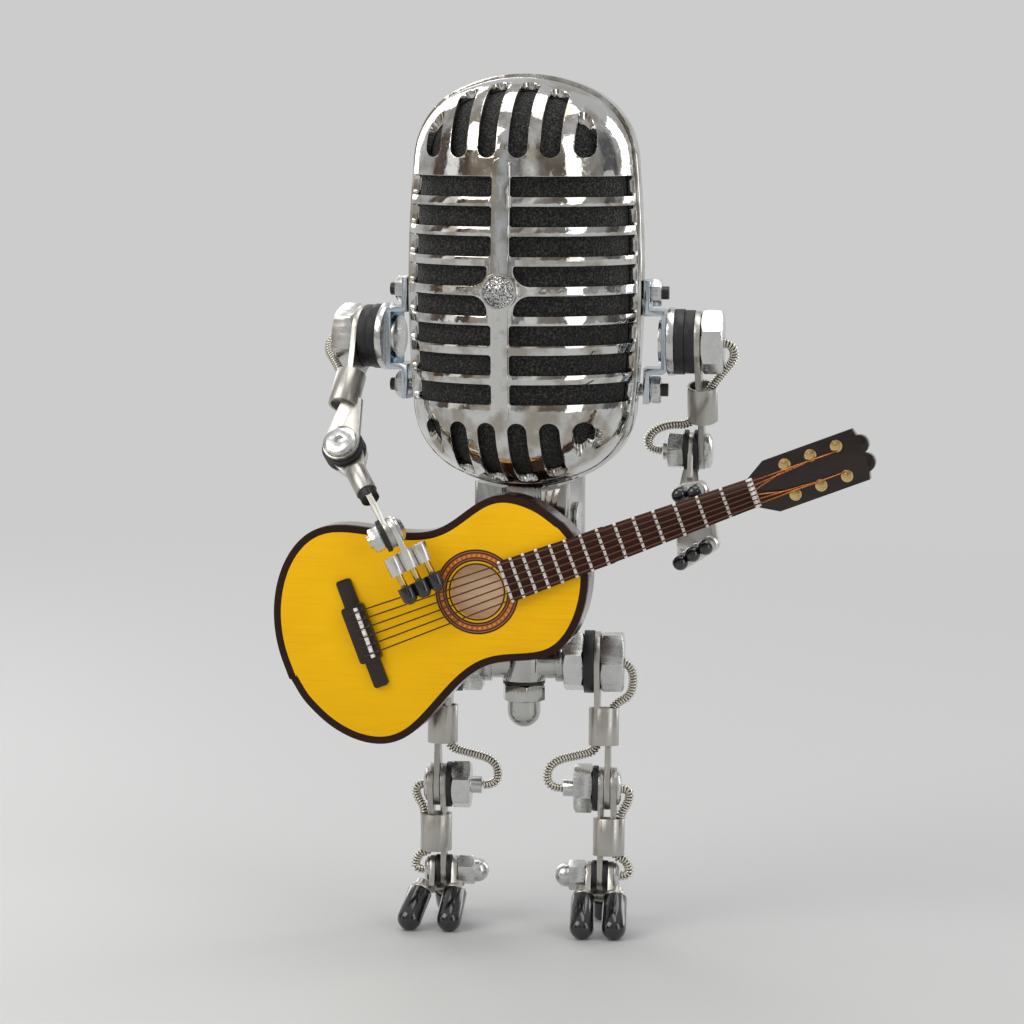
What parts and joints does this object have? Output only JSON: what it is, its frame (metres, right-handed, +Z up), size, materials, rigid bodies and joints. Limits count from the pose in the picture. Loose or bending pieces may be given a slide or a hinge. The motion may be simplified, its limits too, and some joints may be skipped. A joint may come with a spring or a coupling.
{
  "type": "desk lamp",
  "caption": "Desk lamp in the shape of a robot: a slotted microphone head on a swivel and pole, arms and legs of cable lugs bolted at every joint, and a small guitar held across the front.",
  "frame": {"origin": "middle of the lamp's footprint box on the surface it stands on", "axes": "+Z up; the front faces -Y, so +X is the robot's own left"},
  "size_m": [0.1806, 0.0762, 0.2578],
  "materials": {
    "polished_chrome": "polished",
    "satin_nickel": "satin",
    "bright_steel": "polished",
    "black_rubber": "matte",
    "liner_foam": "matte",
    "badge_metal": "hammered",
    "white_plastic": "matte",
    "lamp_glass": "frosted",
    "sheath_steel": "satin",
    "brass_pin": "satin",
    "black_plastic": "gloss",
    "spruce_top": "varnished",
    "dark_wood": "varnished",
    "binding_wood": "varnished",
    "ivory_plastic": "satin",
    "string_steel": "satin"
  },
  "bodies": {
    "torso": {"torso_pole": "polished_chrome", "hip_tee": "polished_chrome", "hip_bolts": "bright_steel", "hip_washers": "black_rubber", "acorn_nut": "polished_chrome", "cable_gland": "black_plastic", "swivel_base": "polished_chrome", "swivel_screw": "bright_steel", "guitar_screw": "bright_steel", "guitar_body": "dark_wood", "guitar_binding": "binding_wood", "soundboard": "spruce_top", "guitar_neck": "dark_wood", "fretboard": "dark_wood", "frets": "ivory_plastic", "bridge": "dark_wood", "tuning_pegs": "brass_pin", "guitar_strings": "string_steel"},
    "head": {"front_grille": "polished_chrome", "rear_grille": "polished_chrome", "seam_band": "polished_chrome", "foam_liner": "liner_foam", "badge_plate": "badge_metal", "swivel_tongue": "polished_chrome", "lamp_socket": "white_plastic", "led_bulb": "lamp_glass", "shoulder_brackets": "polished_chrome", "bracket_screws": "bright_steel", "shoulder_bolts": "bright_steel", "shoulder_washers": "black_rubber"},
    "upper_arm_left_body": {"upper_arm_left": "satin_nickel", "upper_arm_left_sheaths": "sheath_steel"},
    "forearm_left_body": {"forearm_left": "satin_nickel", "forearm_left_bolts": "bright_steel", "forearm_left_washers": "black_rubber"},
    "hand_left_body": {"hand_left": "satin_nickel", "fingertips_left": "black_rubber"},
    "thigh_left_body": {"thigh_left": "satin_nickel", "thigh_left_sheaths": "sheath_steel"},
    "shin_left_body": {"shin_left": "satin_nickel", "shin_left_sheaths": "sheath_steel", "shin_left_bolts": "bright_steel", "shin_left_washers": "black_rubber"},
    "foot_left_body": {"foot_left": "satin_nickel", "toe_caps_left": "black_rubber"},
    "upper_arm_right_body": {"upper_arm_right": "satin_nickel", "upper_arm_right_sheaths": "sheath_steel"},
    "forearm_right_body": {"forearm_right": "satin_nickel", "forearm_right_bolts": "bright_steel", "forearm_right_washers": "black_rubber"},
    "hand_right_body": {"hand_right": "satin_nickel", "fingertips_right": "black_rubber"},
    "thigh_right_body": {"thigh_right": "satin_nickel", "thigh_right_sheaths": "sheath_steel"},
    "shin_right_body": {"shin_right": "satin_nickel", "shin_right_sheaths": "sheath_steel", "shin_right_bolts": "bright_steel", "shin_right_washers": "black_rubber"},
    "foot_right_body": {"foot_right": "satin_nickel", "toe_caps_right": "black_rubber"}
  },
  "joints": [
    {"name": "head_tilt", "type": "hinge", "parent": "torso", "child": "head", "pos_m": [-0.01857, 0.00969, 0.124], "axis": [1, 0, 0], "range_deg": [-3, 3]},
    {"name": "shoulder_left", "type": "hinge", "parent": "head", "child": "upper_arm_left_body", "pos_m": [0.03311, 0.00763, 0.1784], "axis": [0.9945, 0.1045, 0], "range_deg": [-3, 45]},
    {"name": "elbow_left", "type": "hinge", "parent": "upper_arm_left_body", "child": "forearm_left_body", "pos_m": [0.03232, 0.01992, 0.14457], "axis": [0.9945, 0.1045, 0], "range_deg": [0, 40]},
    {"name": "wrist_left", "type": "hinge", "parent": "forearm_left_body", "child": "hand_left_body", "pos_m": [0.03074, 0.00516, 0.125], "axis": [0.084, -0.7988, 0.5957], "range_deg": [-15, 15]},
    {"name": "shoulder_right", "type": "hinge", "parent": "head", "child": "upper_arm_right_body", "pos_m": [-0.07026, 0.00763, 0.1784], "axis": [-0.9945, 0.1045, 0], "range_deg": [0, 40]},
    {"name": "elbow_right", "type": "hinge", "parent": "upper_arm_right_body", "child": "forearm_right_body", "pos_m": [-0.07102, -0.01589, 0.14725], "axis": [-0.0835, -0.7943, 0.6018], "range_deg": [-40, 0]},
    {"name": "wrist_right", "type": "hinge", "parent": "forearm_right_body", "child": "hand_right_body", "pos_m": [-0.05187, -0.03259, 0.12269], "axis": [0.8432, 0.316, 0.435], "range_deg": [-40, 0]},
    {"name": "hip_left", "type": "hinge", "parent": "torso", "child": "thigh_left_body", "pos_m": [0.00355, 0.0057, 0.081], "axis": [0.9877, 0.1564, 0], "range_deg": [-30, 30]},
    {"name": "knee_left", "type": "hinge", "parent": "thigh_left_body", "child": "shin_left_body", "pos_m": [0.00754, 0.00226, 0.04281], "axis": [0.9877, 0.1564, 0], "range_deg": [0, 80]},
    {"name": "ankle_left", "type": "hinge", "parent": "shin_left_body", "child": "foot_left_body", "pos_m": [0.006, -0.00077, 0.01656], "axis": [0.9877, 0.1564, 0], "range_deg": [-20, 20]},
    {"name": "hip_right", "type": "hinge", "parent": "torso", "child": "thigh_right_body", "pos_m": [-0.04099, -0.00136, 0.081], "axis": [-0.9877, -0.1564, 0], "range_deg": [-30, 5]},
    {"name": "knee_right", "type": "hinge", "parent": "thigh_right_body", "child": "shin_right_body", "pos_m": [-0.0443, -0.00222, 0.0426], "axis": [-0.9877, -0.1564, 0], "range_deg": [0, 80]},
    {"name": "ankle_right", "type": "hinge", "parent": "shin_right_body", "child": "foot_right_body", "pos_m": [-0.04229, -0.00214, 0.0162], "axis": [-0.9877, -0.1564, 0], "range_deg": [-20, 20]}
  ]
}
